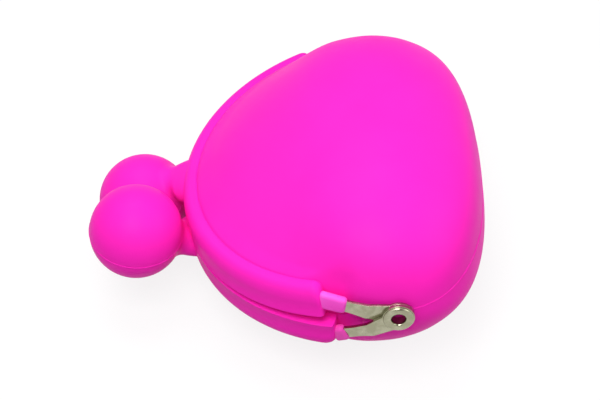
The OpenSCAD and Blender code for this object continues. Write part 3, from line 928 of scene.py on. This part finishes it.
def materials():
    """The purse's materials by their short names, made at the first call."""
    names = {"silicone": "Pink Silicone", "sleeve": "Sleeve Silicone", "thin": "Thin Silicone Partly Painted Shade",
             "steel": "Nickel Plate", "core": "Core Plastic"}
    if names["silicone"] in bpy.data.materials:
        return {short: bpy.data.materials[name] for short, name in names.items()}
    finish = bpy.context.scene.purse_finish
    soft = silicone_group()
    made = {}
    for short, deeper, specks, dust, roughness, grain, gloss in (
            ("silicone", finish.silicone_shade, finish.dust, 0.55, 0.45, 0.35, 0.05),
            ("sleeve", finish.silicone, finish.dust, 0.3, 0.42, 0.3, 0.15),
            # The thin silicone's colour is partly painted shade and partly the metal showing through
            ("thin", finish.silicone, finish.dust, 0.3, 0.42, 0.3, 0.15),
            ("core", finish.core, finish.core, 0.0, 0.45, 0.2, 0.5)):
        made[short] = new_material(names[short], soft, {
            "Colour": getattr(finish, short), "Deeper Colour": deeper, "Dust Colour": specks,
            "Dust": dust, "Roughness": roughness, "Grain": grain}, Specular_IOR_Level=gloss)
    made["steel"] = new_material(names["steel"], plating_group(), {
        "Colour": finish.nickel, "Worn Colour": finish.nickel_worn, "Roughness": 0.22}, Metallic=1.0)
    return made


class PURSE_OT_stage(PurseOperator, bpy.types.Operator):
    """Build the floor, the lights and the camera"""
    bl_idname = "purse.stage"
    bl_label = "Stage"
    SEEN_RAYS = ("Is Camera Ray", "Is Glossy Ray", "Is Transmission Ray")
    # Each light's name, the setting of its power, its width and its place
    LIGHTS = (("key_light", "key_power", 0.45, (-0.12, -0.36, 0.68)),
              ("top_light", "fill_power", 0.5, (-0.1, 0.25, 0.75)),
              ("side_light", "side_power", 0.4, (0.6, -0.1, 0.45)))
    WHITE = (1, 1, 1, 1)
    FLOOR_WIDTH = 6
    # Share of the floor's look that is a plain white glow, so that only a soft shadow shows on it
    FLOOR_GLOW = 0.85
    CARD_PLACE = (0, -1.05, 1.0)
    CARD_WIDTH = 1.3
    CARD_HEIGHT = 1.2
    SENSOR_WIDTH = 36
    CLIP_START = 0.01
    CLIP_END = 20

    def execute(self, context):
        stage = context.scene.purse_stage
        finish = context.scene.purse_finish
        floor = new_piece("floor", bpy.ops.mesh.primitive_plane_add, size=self.FLOOR_WIDTH,
                          location=(0, 0, cad_low.z))
        floor.data.materials.append(self.floor_material(finish))
        self.world(stage)
        for name, setting, width, location in self.LIGHTS:
            self.light(name, getattr(stage, setting), width, location, stage.aim)
        self.flag(finish.flag)
        self.camera(stage)
        context.scene.view_settings.view_transform = "Standard"
        return {"FINISHED"}

    def flag(self, tint):
        """A dark card behind the camera, which the metal reflects."""
        card = new_piece("dark_card", bpy.ops.mesh.primitive_plane_add, size=1)
        material = bpy.data.materials.new("Dark Card")
        material.use_nodes = True
        material.node_tree.nodes["Principled BSDF"].inputs["Base Color"].default_value = (*tint, 1)
        card.data.materials.append(material)
        toward = Vector(self.CARD_PLACE)
        turn = (-toward).to_track_quat("Z", "Y").to_matrix().to_4x4()
        size = Matrix.Diagonal((self.CARD_WIDTH, self.CARD_HEIGHT, 1, 1))
        place(card, Matrix.Translation(toward) @ turn @ size)
        card.visible_shadow = False
        card.visible_diffuse = False

    def seen(self, tree):
        """1 for rays from the camera, off gloss or through glass, and 0 for the rest."""
        path = add_node(tree, "ShaderNodeLightPath").outputs
        total = path[self.SEEN_RAYS[0]]
        for name in self.SEEN_RAYS[1:]:
            total = calculate(tree, "MAXIMUM", total, path[name])
        return total

    def mix_out(self, tree, share, first, second, output):
        """Mixes two shaders by a share and puts the mix out."""
        ends = {0: share, 1: first.outputs[0], 2: second.outputs[0]}
        both = add_node(tree, "ShaderNodeMixShader", ends)
        add_node(tree, output, {"Surface": both.outputs[0]})

    def floor_material(self, finish):
        """A pale floor: white where it is lit, with a soft shadow, and it throws little light back."""
        material = bpy.data.materials.new("Floor")
        material.use_nodes = True
        tree = material.node_tree
        tree.nodes.clear()
        seen = self.seen(tree)
        tint = mix_colours(tree, seen, (*finish.floor_bounce, 1), (*finish.floor, 1))
        matte = add_node(tree, "ShaderNodeBsdfDiffuse", {"Color": tint})
        glow = add_node(tree, "ShaderNodeEmission", {"Color": self.WHITE, "Strength": 1.0})
        share = calculate(tree, "MULTIPLY", seen, self.FLOOR_GLOW)
        self.mix_out(tree, share, matte, glow, "ShaderNodeOutputMaterial")
        return material

    def world(self, stage):
        """Light from all round, which is seen as plain white."""
        world = bpy.data.worlds.new("Studio")
        bpy.context.scene.world = world
        world.use_nodes = True
        tree = world.node_tree
        tree.nodes.clear()
        room = add_node(tree, "ShaderNodeBackground", {"Color": self.WHITE, "Strength": stage.room_light})
        white = add_node(tree, "ShaderNodeBackground", {"Color": self.WHITE, "Strength": 1.0})
        self.mix_out(tree, self.seen(tree), room, white, "ShaderNodeOutputWorld")

    def light(self, name, watts, width, location, aim):
        """A round light that points at the aim."""
        light = new_piece(name, bpy.ops.object.light_add, type="AREA", location=location)
        set_all(light.data, {"energy": watts, "size": width, "shape": "DISK"})
        toward = Vector(aim) - Vector(location)
        light.rotation_euler = toward.to_track_quat("-Z", "Y").to_euler()

    def camera(self, stage):
        """The camera, turned round its aim."""
        camera = new_piece("camera", bpy.ops.object.camera_add)
        flat = math.cos(stage.elevation)
        back = Vector((math.sin(stage.azimuth) * flat, -math.cos(stage.azimuth) * flat,
                       math.sin(stage.elevation)))
        turn = (-back).to_track_quat("-Z", "Y").to_matrix() @ Matrix.Rotation(stage.roll, 3, "Z")
        camera.location = Vector(stage.aim) + back * stage.distance
        camera.rotation_euler = turn.to_euler()
        set_all(camera.data, {"lens": stage.lens, "sensor_width": self.SENSOR_WIDTH,
                              "clip_start": self.CLIP_START, "clip_end": self.CLIP_END})
        bpy.context.scene.camera = camera


OPERATORS = (PURSE_OT_shells, PURSE_OT_webs, PURSE_OT_rims, PURSE_OT_knobs, PURSE_OT_sleeves,
             PURSE_OT_rivets, PURSE_OT_metalwork, PURSE_OT_stage)
GROUPS = {"purse_pouch": PURSE_PG_pouch, "purse_rims": PURSE_PG_rims, "purse_clasp": PURSE_PG_clasp,
          "purse_hinge": PURSE_PG_hinge, "purse_finish": PURSE_PG_finish, "purse_stage": PURSE_PG_stage}


class PURSE_PT_panel(bpy.types.Panel):
    """Sidebar panel that lists the purse's pieces and sizes"""
    bl_label = "Coin Purse"
    bl_idname = "PURSE_PT_panel"
    bl_space_type = "VIEW_3D"
    bl_region_type = "UI"
    bl_category = "Coin Purse"

    def draw(self, context):
        for operator in OPERATORS:
            self.layout.operator(operator.bl_idname)
        for name, group in GROUPS.items():
            box = self.layout.box()
            box.label(text=group.__doc__)
            for key in group.__annotations__:
                box.prop(getattr(context.scene, name), key)


def register():
    for cls in (*GROUPS.values(), *OPERATORS, PURSE_PT_panel):
        bpy.utils.register_class(cls)
    for name, group in GROUPS.items():
        setattr(bpy.types.Scene, name, PointerProperty(type=group))


def unregister():
    for name in GROUPS:
        delattr(bpy.types.Scene, name)
    for cls in (PURSE_PT_panel, *reversed(OPERATORS), *reversed(list(GROUPS.values()))):
        bpy.utils.unregister_class(cls)


def main():
    register()
    bpy.ops.purse.shells()
    bpy.ops.purse.webs()
    bpy.ops.purse.rims()
    bpy.ops.purse.knobs()
    bpy.ops.purse.sleeves()
    bpy.ops.purse.rivets()
    bpy.ops.purse.metalwork()
    bpy.ops.purse.stage()


if __name__ == "__main__":
    main()
